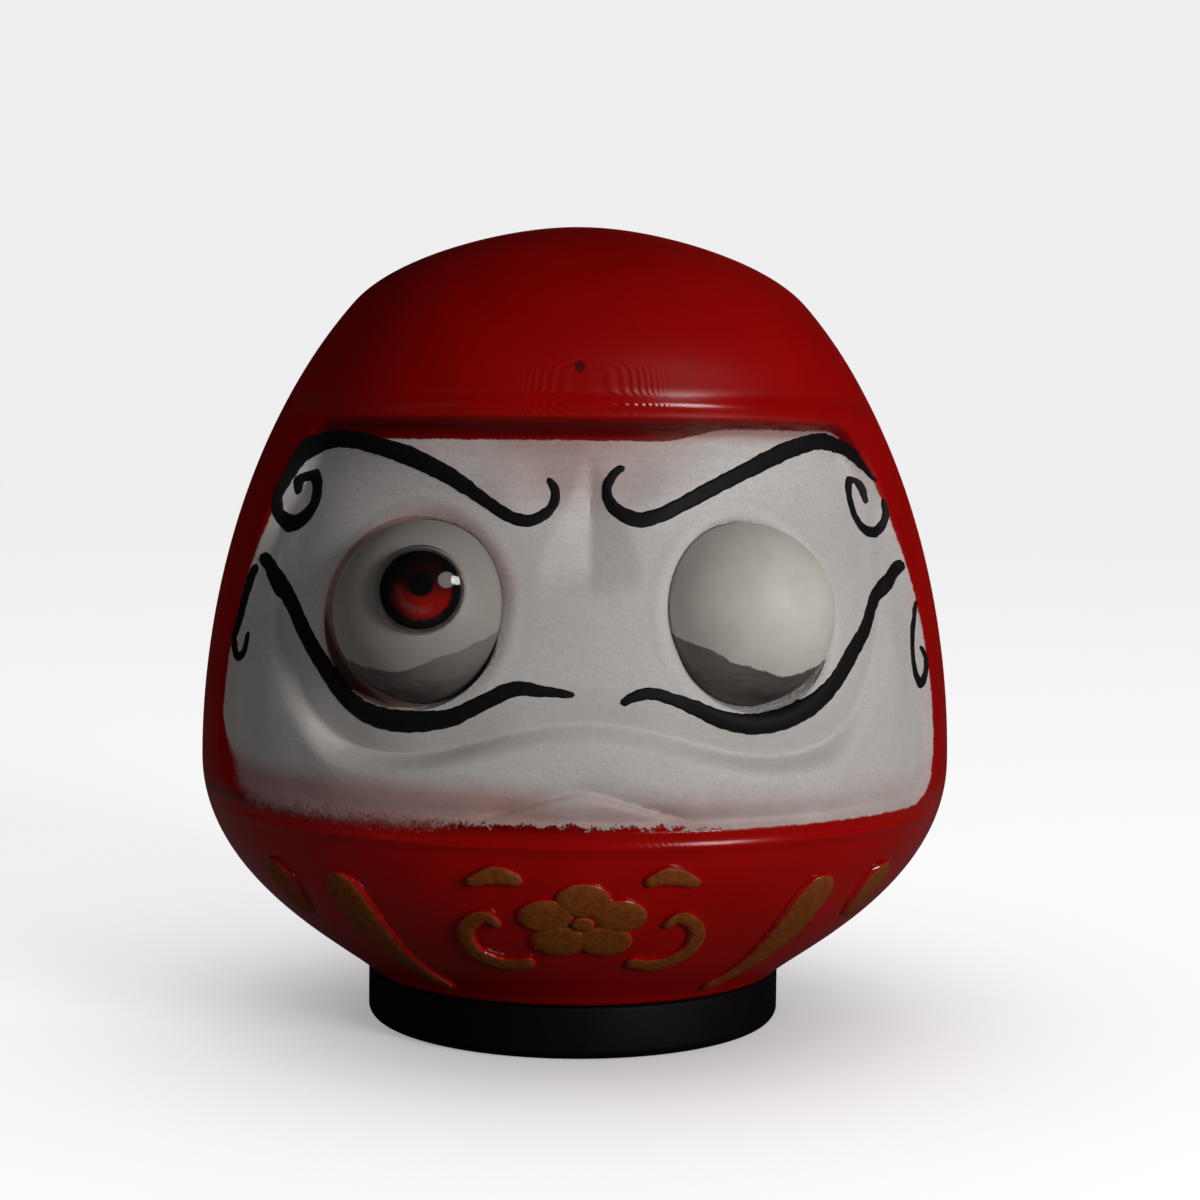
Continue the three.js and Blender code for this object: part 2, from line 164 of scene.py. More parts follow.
def face_relief(azimuth, z):
    """How far the face's forms stand out of its inset ground."""
    side = np.abs(azimuth)
    brow_line = 84 + 0.36 * side - 0.0018 * side**2
    brow = BROW_RISE * hump(z - brow_line, 4.5) * smooth(side, 4, 14) * smooth(side, 58, 48)
    angles = np.arange(-1.0, 91.0)
    slope = np.interp(side, angles, np.gradient(fold_height(angles)))
    below = (fold_height(side) - z) / np.hypot(1, slope)
    sharp = 0.5 + 0.5 * smooth(side, 8, 22)
    ends = smooth(side, 58, 50) * (1 - 0.65 * smooth(side, 35, 45))
    fold = -FOLD_DEPTH * sharp * ends * crease(below, 5.5, 1.2)
    lip = LIP_RISE * ends * smooth(below, 0.2, 3) * smooth(z, 40, 44)
    mouth_below = 46.0 - 0.33 * np.hypot(azimuth + 0.5, 1.5) - z
    mouth = -MOUTH_DEPTH * smooth(side, 17, 10) * crease(mouth_below, 1.8, 0.5)
    rim = rim_distance(azimuth, z)
    basin = -0.5 * smooth(rim, 5, -1)
    ridge = 0.3 * hump(rim - 1.8, 1.2)
    cheek = CHEEK_RISE * hump(side - 53, 5) * hump(z - 62, 9)
    return frown(azimuth, z) + brow + fold + lip + mouth + basin + ridge + cheek


def rim_distance(azimuth, z):
    """Distance outside the opening of the nearer eye socket, measured over the face."""
    across = np.radians(np.abs(azimuth) - EYE_AZIMUTH) * FACE_RADIUS
    return np.hypot(across, z - EYE_HEIGHT) - SOCKET_RADIUS


def ledge(t):
    """The step into the face: a crisp start at 0, easing out at 1."""
    t = np.clip(t, 0, 1)
    return 0.4 * t * t * (3 - 2 * t) + 0.6 * np.sin(t * np.pi / 2)


def body_radius(azimuth, z):
    """Radius of the body about its axis, without the eye sockets."""
    azimuth, z = np.asarray(azimuth, float), np.asarray(z, float)
    frontness = np.maximum(np.cos(np.radians(azimuth)), 0) ** 2
    side = np.interp(z, SIDE[:, 1], SIDE[:, 0])
    base = side + (np.interp(z, FRONT[:, 1], FRONT[:, 0]) - side) * frontness
    edge = FACE_SIDE_EDGE + (FACE_TOP_EDGE - FACE_SIDE_EDGE) * smooth(z, 84, 94)
    edge = edge + (FACE_LOW_EDGE - FACE_SIDE_EDGE) * smooth(z, 46, 42) * smooth(azimuth, -30, 0)
    inset = ledge(inside_face(azimuth, z) / edge) * (np.abs(azimuth) < FACE_REACH)
    sunk = 1.2 + 2.6 * smooth(z, 72, 95)
    fade = smooth(np.abs(azimuth), 78, 55)
    brow_edge = (0.35 * hump(z - 100.3, 1.1) + 0.25 * hump(z - 104.3, 4)) * fade
    belly_lip = 0.4 * hump(z - 37.4, 0.7) * fade
    rolled = -np.where(azimuth > 0, 1.3, 0.6) * smooth(rim_distance(azimuth, z), 1.2, -0.8) ** 2
    return base + brow_edge + belly_lip + inset * (face_relief(azimuth, z) - sunk + rolled)


def on_body(azimuth, z, lift=0.0):
    """Points on the body, or lift millimetres outside it."""
    azimuth, z = np.broadcast_arrays(np.asarray(azimuth, float), np.asarray(z, float))
    radius = body_radius(azimuth, z) + lift
    angle = np.radians(azimuth)
    return np.stack([radius * np.sin(angle), -radius * np.cos(angle), z], axis=-1)


def row_heights(rows, finer=1.0):
    """Heights along the side outline, from base to just under the crown, closer together in the face."""
    z = (SIDE[1:, 1] + SIDE[:-1, 1]) / 2
    face = (z > 38) * (z < 101)
    mouth = (z > 37) * (z < 57)
    brow = (z > 94) * (z < 101)
    density = 1 + finer * (0.6 * face + 1.2 * mouth + 1.2 * brow)
    run = np.concatenate([[0], np.cumsum(np.hypot(*np.diff(SIDE, axis=0).T) * density)])
    return np.interp(np.linspace(0, run[-1], rows + 1)[:-1], run, SIDE[:, 1])


# ---- mesh building ----
def new_object(name, points, faces, smooth_angle=40):
    """An object from points in millimetres."""
    mesh = bpy.data.meshes.new(name)
    mesh.from_pydata((np.asarray(points) * MM).tolist(), [], faces)
    mesh.update()
    piece = bpy.data.objects.new(name, mesh)
    bpy.context.scene.collection.objects.link(piece)
    shade(piece, smooth_angle)
    return piece


def shade(piece, angle=40):
    """Smooth shading, broken at edges sharper than angle degrees."""
    mesh = piece.data
    mesh.polygons.foreach_set("use_smooth", [True] * len(mesh.polygons))
    mesh.set_sharp_from_angle(angle=math.radians(angle))


def skin_faces(rings, count):
    """Faces of a closed skin through rings of count points; the two tips are the last points."""
    first, last = rings * count, rings * count + 1
    faces = []
    for i in range(count):
        j = (i + 1) % count
        faces.append((first, j, i))
        faces.append((last, (rings - 1) * count + i, (rings - 1) * count + j))
        for k in range(rings - 1):
            a, b = k * count, (k + 1) * count
            faces.append((a + i, a + j, b + j, b + i))
    return faces


def skin(name, rings, low_tip=None, high_tip=None, smooth_angle=40):
    """A closed piece through an array of rings, each end closed on a point."""
    rings = np.asarray(rings, float)
    low_tip = rings[0].mean(0) if low_tip is None else low_tip
    high_tip = rings[-1].mean(0) if high_tip is None else high_tip
    points = np.vstack([rings.reshape(-1, 3), low_tip, high_tip])
    return new_object(name, points, skin_faces(len(rings), rings.shape[1]), smooth_angle)


def lathe_rings(profile, segments):
    """Rings about +Z of (radius, height) points."""
    turn = np.linspace(0, 2 * np.pi, segments, endpoint=False)
    radius, height = np.asarray(profile, float).T
    x, y = np.outer(radius, np.cos(turn)), np.outer(radius, np.sin(turn))
    return np.stack([x, y, np.repeat(height[:, None], segments, axis=1)], axis=-1)


def aim(points, origin, direction):
    """Turns points built about +Z to stand on origin and point along direction."""
    turn = np.array(Vector((0, 0, 1)).rotation_difference(Vector(direction)).to_matrix())
    return points @ turn.T + np.asarray(origin)


def arc(radius, start, end, steps, centre=(0.0, 0.0)):
    """Points (radius, height) round an arc, in degrees up."""
    angle = np.radians(np.linspace(start, end, steps))
    return [(centre[0] + radius * math.cos(a), centre[1] + radius * math.sin(a)) for a in angle]


def cut(piece, tool):
    """Takes the tool's shape out of the piece."""
    step = piece.modifiers.new("cut", "BOOLEAN")
    step.object, step.operation, step.solver = tool, "DIFFERENCE", "MANIFOLD"
    with bpy.context.temp_override(object=piece, active_object=piece):
        bpy.ops.object.modifier_apply(modifier=step.name)
    bpy.data.objects.remove(tool)


def store(piece, name, values):
    """Keeps one number for each vertex, which the materials read by name."""
    layer = piece.data.attributes.new(name, "FLOAT", "POINT")
    layer.data.foreach_set("value", np.asarray(values, np.float32))


def vertices(piece):
    """The piece's points, in millimetres."""
    flat = np.empty(len(piece.data.vertices) * 3)
    piece.data.vertices.foreach_get("co", flat)
    return flat.reshape(-1, 3) / MM


# ---- materials ----
class Nodes:
    """A short way to write a node material: each call adds nodes and gives their output."""

    def __init__(self, name):
        self.material = bpy.data.materials.new(name)
        self.material.use_nodes = True
        self.tree = self.material.node_tree
        self.tree.nodes.clear()
        self.out = self.tree.nodes.new("ShaderNodeOutputMaterial")

    def node(self, kind, inputs=(), **settings):
        made = self.tree.nodes.new(kind)
        for key, value in settings.items():
            setattr(made, key, value)
        for key, value in dict(inputs).items():
            if isinstance(value, bpy.types.NodeSocket):
                self.tree.links.new(value, made.inputs[key])
            elif value is not None:
                made.inputs[key].default_value = value
        return made

    def vector(self, operation, a, b=None):
        """Vector maths, where a length or a distance comes out as a number."""
        result = "Value" if operation in ("LENGTH", "DISTANCE") else "Vector"
        return self.node("ShaderNodeVectorMath", {0: a, 1: b}, operation=operation).outputs[result]

    def split(self, vector):
        return self.node("ShaderNodeSeparateXYZ", {0: vector}).outputs

    def join(self, x, y, z=0.0):
        return self.node("ShaderNodeCombineXYZ", {0: x, 1: y, 2: z}).outputs[0]

    def position(self):
        """Place on the object, in millimetres."""
        coords = self.node("ShaderNodeTexCoord").outputs["Object"]
        return self.vector("MULTIPLY", coords, [1 / MM] * 3)

    def attribute(self, name):
        return self.node("ShaderNodeAttribute", attribute_name=name).outputs["Fac"]

    def math(self, operation, a, b=None, c=None, clamp=False):
        return self.node("ShaderNodeMath", {0: a, 1: b, 2: c}, operation=operation,
                         use_clamp=clamp).outputs[0]

    def product(self, first, *others):
        for other in others:
            first = self.math("MULTIPLY", first, other)
        return first

    def total(self, first, *others):
        for other in others:
            first = self.math("ADD", first, other)
        return first

    def linear(self, value, slope, start):
        return self.math("MULTIPLY_ADD", value, slope, start)

    def sway(self, value, reach):
        """A noise from 0 to 1 turned into one from -reach to reach."""
        return self.linear(value, 2 * reach, -reach)

    def inverse(self, share):
        return self.math("SUBTRACT", 1.0, share)

    def blend(self, share, a, b):
        """The number a where share is 0, and b where it is 1."""
        return self.linear(share, self.math("SUBTRACT", b, a), a)

    def ramp(self, value, low, high, to_low=0.0, to_high=1.0):
        """Runs smoothly from to_low, where value is low, to to_high, where it is high."""
        return self.node("ShaderNodeMapRange", {"Value": value, "From Min": low, "From Max": high,
                         "To Min": to_low, "To Max": to_high}, interpolation_type="SMOOTHSTEP").outputs[0]

    def noise(self, size, detail=3.0, rough=0.55, stretch=(1, 1, 1), place=None):
        """Noise of about size millimetres."""
        scaled = self.vector("MULTIPLY", place or self.position(), [s / size for s in stretch])
        return self.node("ShaderNodeTexNoise", {"Vector": scaled, "Scale": 1.0, "Detail": detail,
                         "Roughness": rough}).outputs["Fac"]

    def mix(self, share, a, b):
        """The colour a where share is 0, and b where it is 1."""
        made = self.node("ShaderNodeMix", data_type="RGBA")
        for key, value in (("Factor", share), ("A", a), ("B", b)):
            socket = next(s for s in made.inputs if s.name == key and s.enabled)
            if isinstance(value, bpy.types.NodeSocket):
                self.tree.links.new(value, socket)
            else:
                socket.default_value = value
        return next(s for s in made.outputs if s.enabled)

    def bump(self, height, depth, below=None):
        """Bumps of depth millimetres where height runs from 0 to 1."""
        return self.node("ShaderNodeBump", {"Height": height, "Strength": 1.0,
                         "Distance": depth * MM, "Normal": below}).outputs[0]

    def finish(self, **inputs):
        inputs = {key.replace("_", " "): value for key, value in inputs.items()}
        shader = self.node("ShaderNodeBsdfPrincipled", inputs)
        self.tree.links.new(shader.outputs[0], self.out.inputs["Surface"])
        return self.material


# ---- colours ----
RED = (0.405, 0.0022, 0.001, 1)
RED_DEEP = (0.345, 0.0012, 0.0007, 1)
RED_SHADE = (0.07, 0.001, 0.0007, 1)
PIT_SHADE_RED = (0.1, 0.001, 0.001, 1)
BARE_BROWN = (0.17, 0.05, 0.04, 1)
WHITE = (0.72, 0.69, 0.675, 1)
WHITE_GREY_AND_SHADE = (0.55, 0.53, 0.515, 1)
WHITE_THIN = (0.46, 0.29, 0.275, 1)
SOCKET_BROWN = (0.36, 0.22, 0.2, 1)
INK = (0.004, 0.0035, 0.004, 1)
INK_WORN = (0.012, 0.011, 0.012, 1)
GOLD = (0.26, 0.07, 0.011, 1)
GOLD_DARK = (0.18, 0.042, 0.008, 1)
FOOT_BLACK = (0.0015, 0.001, 0.0012, 1)
FOOT_WORN = (0.004, 0.003, 0.0035, 1)
BALL_WHITE = (0.74, 0.72, 0.66, 1)
BALL_GREY = (0.36, 0.335, 0.31, 1)
BALL_CLOUD = (0.2, 0.17, 0.16, 1)
WASH_PALE = (0.2, 0.18, 0.165, 1)
WASH_DARK = (0.05, 0.043, 0.041, 1)
IRIS_RED = (0.4, 0.006, 0.004, 1)
IRIS_SHADE = (0.02, 0.001, 0.001, 1)
IRIS_FIBRE = (0.03, 0.0, 0.0, 1)
IRIS_SALMON = (0.36, 0.08, 0.06, 1)
IRIS_EDGE = (0.003, 0.002, 0.002, 1)
IRIS_DOT = (0.36, 0.34, 0.32, 1)
PUPIL = (0.002, 0.001, 0.001, 1)
CLEAR = (0.97, 0.97, 0.97, 1)
STEEL = (0.45, 0.45, 0.46, 1)
WOOD = (0.62, 0.44, 0.26, 1)
WOOD_DARK = (0.42, 0.26, 0.13, 1)

# ---- fine relief made by bump, millimetres ----
LAYER_PITCH, LAYER_DEPTH = 0.18, 0.065
GRAIN_DEPTH = 0.012
BRUSH_MARK_DEPTH = 0.06
PAINT_STEP = 0.06
RIM_BEAD_DEPTH = 0.25
GOLD_DEPTH = 0.12
INK_DEPTH = 0.03
FOOT_DEPTH = 0.03
WOOD_DEPTH = 0.03
BALL_DEPTH = 0.015
STEEL_DEPTH = 0.01
PIT, PIT_EDGE, PIT_FLOOR = (-1.2, -51.7, 105.7), 1.2, 0.5  # a small pit in the hood, and its radii


# ---- paints and finishes ----
def layer_lines(n, place):
    """Steps of the print's layers, stacked from back to front, where the surface lies flat to them."""
    _, back, up = n.split(place)
    wave = n.math("SINE", n.math("MULTIPLY", back, 2 * math.pi / LAYER_PITCH))
    normal = n.node("ShaderNodeNewGeometry").outputs["Normal"]
    facing = n.math("ABSOLUTE", n.split(normal)[1])
    return n.product(wave, n.ramp(facing, 0.955, 0.99), n.ramp(up, 40, 95, 0.2, 1.0))


def red_coat(n, place):
    """Colour, roughness and shine of the red paint, which is glossiest on the belly and the brow edge."""
    patch = n.noise(22, 4, place=place)
    _, back, up = n.split(place)
    front = n.ramp(back, -12, -30)
    above_belly = n.blend(front, n.ramp(up, 20, 60), n.ramp(up, 39.5, 43))
    brow_edge = n.ramp(n.math("ABSOLUTE", n.math("SUBTRACT", up, 100.6)), 2.6, 0.6)
    dull = n.product(above_belly, n.inverse(n.product(brow_edge, front)))
    colour = n.mix(n.ramp(patch, 0.35, 0.7), RED_DEEP, RED)
    rough = n.linear(dull, 0.34, n.linear(patch, 0.1, 0.15))
    return colour, rough, n.linear(dull, -0.24, 0.33)


def white_coat(n, place, streak, speck):
    """Colour of the white paint: streaked, pinkish where it is thin, greyed as painted shade above the
    fold, and bare inside the left socket.
    """
    blotch = n.noise(7, 4, 0.6, place=place)
    cover = n.mix(n.ramp(streak, 0.3, 0.75, 0.0, 0.6), WHITE, WHITE_GREY_AND_SHADE)
    cover = n.mix(n.ramp(blotch, 0.3, 0.7), cover, WHITE)
    cover = n.mix(n.ramp(speck, 0.45, 0.65, 0.0, 0.5), cover, WHITE_GREY_AND_SHADE)
    # painted shade: the white greys in the band above the fold, and by half on the face below the brows
    dull = n.product(n.attribute("dull"), n.ramp(streak, 0.2, 0.7, 1.0, 0.6))
    cover = n.mix(dull, cover, WHITE_GREY_AND_SHADE)
    thin = n.total(n.attribute("thin"), n.linear(blotch, 0.7, -0.42))
    thin = n.math("ADD", thin, n.sway(streak, 0.15), clamp=True)
    cover = n.mix(thin, cover, WHITE_THIN)
    from_eye = n.vector("SUBTRACT", place, eye_origin(-1, LEDGE_SHIFT))
    off_axis = n.vector("LENGTH", n.vector("CROSS_PRODUCT", from_eye, eye_direction(-1)))
    return n.mix(n.ramp(off_axis, SOCKET_RADIUS + 0.1, SOCKET_RADIUS - 0.1), cover, SOCKET_BROWN)


def shell_material():
    n = Nodes("red_and_white_paint")
    place = n.position()
    grain = n.noise(0.5, 3, place=place)
    fleck = n.noise(2.0, 4, 0.6, place=place)
    speck = n.noise(0.55, 3, 0.6, place=place)
    streak = n.noise(0.6, 3, 0.6, stretch=(0.14, 0.14, 1.2), place=place)
    ragged = n.product(n.total(n.sway(fleck, 1.6), n.sway(speck, 1.2)), n.attribute("ragged"))
    inside = n.total(n.attribute("white"), ragged)
    faded = n.attribute("faded")
    white = n.ramp(inside, n.linear(faded, -0.4, -0.15), n.total(faded, 0.2))
    red, rough_red, shine_red = red_coat(n, place)
    pit = n.ramp(n.vector("DISTANCE", place, PIT), PIT_EDGE, PIT_FLOOR)
    # painted shade: the pit's floor is darkened, and a bump below gives its dip
    red = n.mix(pit, red, PIT_SHADE_RED)
    # painted shade: the red is darkened under the brow's overhang, and in a band just below the white's
    # lower edge
    red = n.mix(n.product(n.attribute("painted_shade"), 0.75), red, RED_SHADE)
    red = n.mix(n.product(n.attribute("bare"), n.ramp(streak, 0.3, 0.6)), red, BARE_BROWN)
    rim = n.attribute("glossy")
    rough_white = n.linear(rim, -0.4, n.linear(streak, 0.15, 0.5))
    lines = n.product(layer_lines(n, place), n.linear(white, -0.3, 0.5))
    height = n.bump(n.total(lines, 0.5), LAYER_DEPTH)
    height = n.bump(n.math("SUBTRACT", grain, pit), GRAIN_DEPTH, height)
    height = n.bump(n.product(white, n.total(streak, speck)), BRUSH_MARK_DEPTH, height)
    height = n.bump(n.product(rim, speck), RIM_BEAD_DEPTH, height)
    height = n.bump(white, PAINT_STEP, height)
    return n.finish(Base_Color=n.mix(white, red, white_coat(n, place, streak, speck)),
                    Roughness=n.blend(white, rough_red, rough_white),
                    Specular_IOR_Level=n.blend(white, shine_red, 0.35), Normal=height)


def red_material():
    n = Nodes("red_paint")
    place = n.position()
    red, rough, shine = red_coat(n, place)
    height = n.bump(n.linear(layer_lines(n, place), 0.5, 0.5), LAYER_DEPTH)
    height = n.bump(n.noise(0.5, 3, place=place), GRAIN_DEPTH, height)
    return n.finish(Base_Color=red, Roughness=rough, Normal=height, Specular_IOR_Level=shine)


def ink_material():
    n = Nodes("brush_black")
    streak = n.noise(0.6, 3)
    return n.finish(Base_Color=n.mix(streak, INK, INK_WORN), Roughness=n.linear(streak, 0.2, 0.5),
                    Specular_IOR_Level=0.12, Normal=n.bump(streak, INK_DEPTH))


def relief_material():
    """Gold on top of the raised shapes, and glossy red down their sides."""
    n = Nodes("gold_on_red_relief")
    place = n.position()
    fleck = n.noise(1.2, 4, 0.65, place=place)
    gold = n.ramp(n.total(n.attribute("top"), n.sway(fleck, 0.25)), 0.52, 0.8)
    tone = n.mix(n.ramp(fleck, 0.3, 0.7), GOLD_DARK, GOLD)
    red = red_coat(n, place)[0]
    return n.finish(Base_Color=n.mix(gold, red, tone), Roughness=n.linear(gold, 0.35, 0.16),
                    Specular_IOR_Level=n.linear(gold, -0.35, 0.5),
                    Coat_Weight=n.inverse(gold), Coat_Roughness=0.06,
                    Normal=n.bump(n.noise(0.8, 3, place=place), GOLD_DEPTH))


def foot_material():
    n = Nodes("foot_black")
    wear = n.noise(3.5, 5, 0.65)
    grain = n.noise(0.5, 3)
    return n.finish(Base_Color=n.mix(wear, FOOT_BLACK, FOOT_WORN), Roughness=n.linear(wear, 0.2, 0.5),
                    Specular_IOR_Level=0.1, Normal=n.bump(grain, FOOT_DEPTH))


def ball_material():
    """White with a brushed grey wash below; the left ball's white is a darker grey than the right's."""
    n = Nodes("eye_white")
    place = n.position()
    streak = n.noise(0.7, 5, 0.65, stretch=(0.25, 1, 1.3), place=place)
    cloud = n.noise(5, 3, 0.6, place=place)
    depth = n.total(n.attribute("wash"), n.sway(streak, 0.25), n.sway(cloud, 1.2))
    wash = n.ramp(depth, -0.15, 0.25)
    shade = n.math("ADD", n.attribute("wash_tone"), n.sway(streak, 0.55), clamp=True)
    tone = n.mix(shade, WASH_DARK, WASH_PALE)
    white = n.mix(n.attribute("pale"), BALL_GREY, BALL_WHITE)
    white = n.mix(n.ramp(cloud, 0.35, 0.75, 0.0, 0.12), white, BALL_CLOUD)
    return n.finish(Base_Color=n.mix(wash, white, tone),
                    Roughness=0.5, Specular_IOR_Level=0.35, Normal=n.bump(streak, BALL_DEPTH),
                    Subsurface_Weight=n.linear(wash, -0.7, 0.7),
                    Subsurface_Radius=(1.0, 0.9, 0.8), Subsurface_Scale=0.006)


def iris_material():
    """Red fibres round a high pupil, a salmon arc at the lower left, and a pale dot at the upper right."""
    n = Nodes("iris_red")
    across, up = n.attribute("iris_x"), n.attribute("iris_y")
    flat = n.join(across, up)
    radius = n.vector("DISTANCE", flat, (0.0, 0.0, 0.0))
    from_pupil = n.vector("DISTANCE", flat, (0.0, 0.135, 0.0))
    from_dot = n.vector("DISTANCE", flat, (0.64, 0.25, 0.0))
    angle = n.math("ARCTAN2", up, across)
    spokes = n.join(n.product(n.math("COSINE", angle), 6.0), n.product(n.math("SINE", angle), 6.0),
                    n.product(radius, 2.0))
    fibre = n.noise(1.0, 5, 0.65, place=spokes)
    lit = n.ramp(n.linear(fibre, 0.5, n.linear(up, -1.0, -0.25)), -0.35, 0.4)
    colour = n.mix(lit, IRIS_SHADE, IRIS_RED)
    colour = n.mix(n.product(n.ramp(fibre, 0.5, 0.7), 0.35), colour, IRIS_FIBRE)
    low_left = n.linear(across, -0.62, n.product(up, -0.78))
    band = n.ramp(n.math("ABSOLUTE", n.math("SUBTRACT", radius, 0.54)), 0.14, 0.05)
    salmon = n.product(band, n.ramp(low_left, 0.12, 0.42), n.ramp(fibre, 0.3, 0.6, 0.35, 0.85))
    colour = n.mix(salmon, colour, IRIS_SALMON)
    colour = n.mix(n.ramp(from_pupil, 0.38, 0.28), colour, PUPIL)
    colour = n.mix(n.ramp(n.linear(fibre, 0.12, radius), 0.76, 0.9), colour, IRIS_EDGE)
    colour = n.mix(n.ramp(from_dot, 0.23, 0.18), colour, IRIS_DOT)
    return n.finish(Base_Color=colour, Roughness=0.5, Specular_IOR_Level=0.1)


def clear_material():
    n = Nodes("clear_resin")
    clear = n.node("ShaderNodeBsdfTransparent", {"Color": CLEAR}).outputs[0]
    shine = n.node("ShaderNodeBsdfGlossy", {"Color": (1, 1, 1, 1), "Roughness": 0.04}).outputs[0]
    gloss = n.node("ShaderNodeFresnel", {"IOR": 1.5}).outputs[0]
    mixed = n.node("ShaderNodeMixShader", {0: gloss, 1: clear, 2: shine}).outputs[0]
    n.tree.links.new(mixed, n.out.inputs["Surface"])
    return n.material


def steel_material():
    n = Nodes("ballast_steel")
    turned = n.noise(0.4, 2, stretch=(1, 1, 0.1))
    return n.finish(Base_Color=STEEL, Metallic=1.0, Roughness=n.linear(turned, 0.2, 0.3),
                    Normal=n.bump(turned, STEEL_DEPTH))


def dowel_material():
    n = Nodes("dowel_wood")
    grain = n.noise(0.5, 3, stretch=(1, 0.06, 1))
    return n.finish(Base_Color=n.mix(grain, WOOD_DARK, WOOD), Roughness=0.6,
                    Normal=n.bump(grain, WOOD_DEPTH))


# ---- shells ----
GROOVE_ANGLE, GROOVE_DEPTH = 0.3, 0.15  # degrees and millimetres
SLOPE_ALLOWANCE = 1.15  # a wall measured level is this much thicker, because it slopes
CUP_TIP, BALL_TIP = 89, 88  # degrees: arcs stop short of the axis, where a tip closes them


def half_body(name, middle, columns, rows):
    """A solid half of the body about an azimuth, closed by flat faces at the seam and the base.

    The halves meet at the seam, where both are drawn in a little and so leave a fine groove.
    """
    inner = np.linspace(middle - 90 + GROOVE_ANGLE, middle + 90 - GROOVE_ANGLE, columns - 1)
    azimuth = np.concatenate([[middle - 90], inner, [middle + 90]])
    z = row_heights(rows, abs(90 - middle) / 90)
    grid = on_body((azimuth[None, :] + 180) % 360 - 180, z[:, None])
    for edge in (0, -1):
        grid[:, edge, 0] -= GROOVE_DEPTH * np.sign(grid[:, edge, 0])
        grid[:, edge, 1] = 0
    points = np.vstack([grid.reshape(-1, 3), [(0, 0, CROWN_HEIGHT)]])
    count = columns + 1
    faces = []
    for start in range(0, (rows - 1) * count, count):
        for a in range(start, start + columns):
            faces.append((a, a + 1, a + count + 1, a + count))
    tip = rows * count
    faces += [(a, a + 1, tip) for a in range(tip - count, tip - 1)]
    left = list(range(0, tip, count))
    right = list(range(columns, tip, count))
    faces.append(tuple(left + [tip] + right[::-1]))
    faces.append(tuple(range(columns, -1, -1)))
    return new_object(name, points, faces)


def cavity():
    """The space inside the shells' walls."""
    azimuth = np.linspace(-180, 180, 48, endpoint=False)
    z = row_heights(36, 0)
    rings = on_body(azimuth[None, :], z[:, None], -WALL * SLOPE_ALLOWANCE)
    ends = (BODY_BASE, CROWN_HEIGHT)
    rings[..., 2] = np.interp(rings[..., 2], ends, (BODY_BASE + WALL, CROWN_HEIGHT - WALL))
    return skin("cavity", rings, high_tip=(0, 0, CROWN_HEIGHT - WALL))


def foot_opening():
    """A drum round the foot's ring, from well below the body."""
    return drum(SPIGOT_RADIUS + GAP, -5, FOOT_TOP + GAP)


def set_material(piece, material):
    """One material for every face, those left by cuts included."""
    piece.data.materials.clear()
    piece.data.materials.append(material)
    piece.data.polygons.foreach_set("material_index", [0] * len(piece.data.polygons))


def eye_direction(side):
    """The level way out of the body through an eye's centre."""
    angle = math.radians(side * EYE_AZIMUTH)
    return np.array([math.sin(angle), -math.cos(angle), 0])


def eye_centre(side):
    return EYE_CENTRE_RADIUS * eye_direction(side) + np.array([0, 0, EYE_HEIGHT])


def eye_origin(side, shift):
    """The eye's centre, moved shift millimetres towards the temple."""
    angle = math.radians(EYE_AZIMUTH)
    return eye_centre(side) + shift * np.array([side * math.cos(angle), math.sin(angle), 0])


def cup(side, profile, shift=0.0):
    """A filled round-bottomed cup along an eye's axis; its profile is (radius, height) from the eye."""
    origin = eye_origin(side, shift)
    rings = aim(lathe_rings(profile, 128), origin, eye_direction(side))
    low = origin - math.hypot(*profile[0]) * eye_direction(side)
    return skin("cup", rings, low_tip=low)


def drum(radius, low, high):
    return skin("drum", lathe_rings([(radius, low), (radius, high)], 96))


def face_paint(azimuth, z):
    """How far inside the white paint a place is, in millimetres."""
    top = 2.7 * smooth(z, 90, 96) * (1 - 0.75 * smooth(azimuth, 12, 26))
    low = smooth(z, 46, 42) * (0.8 * smooth(azimuth, -12, -28) + 0.7 * smooth(azimuth, 8, 20))
    corner = 2.5 * smooth(z, 54, 44) * smooth(azimuth, -52, -62)
    return inside_face(azimuth, z) - 0.7 - top + low - corner


def paint_thinness(azimuth, z):
    """How far the red shows through the white paint, from 0 to 1 or more."""
    edge = 0.25 * smooth(face_paint(azimuth, z), 6, 0.5)
    brow = 0.8 * smooth(z, 94.5, 96.5) * smooth(azimuth, 8, 20)
    forehead = 0.75 * hump(azimuth + 3, 17) * smooth(z, 82, 90)
    chin = 0.55 * smooth(z, 49, 42) * (1 - 0.5 * smooth(azimuth, 15, 35))
    left = 0.8 * smooth(z, 49, 42) * smooth(azimuth, 0, -15)
    above_eye = smooth(z, EYE_HEIGHT - 2, EYE_HEIGHT + 6)
    temple_side = smooth(azimuth, -EYE_AZIMUTH, -EYE_AZIMUTH - 8)
    socket = 0.75 * smooth(rim_distance(azimuth, z), 4, 0) * smooth(azimuth, 0, -10)
    return edge + brow + forehead + chin + left + socket * np.maximum(above_eye, temple_side)


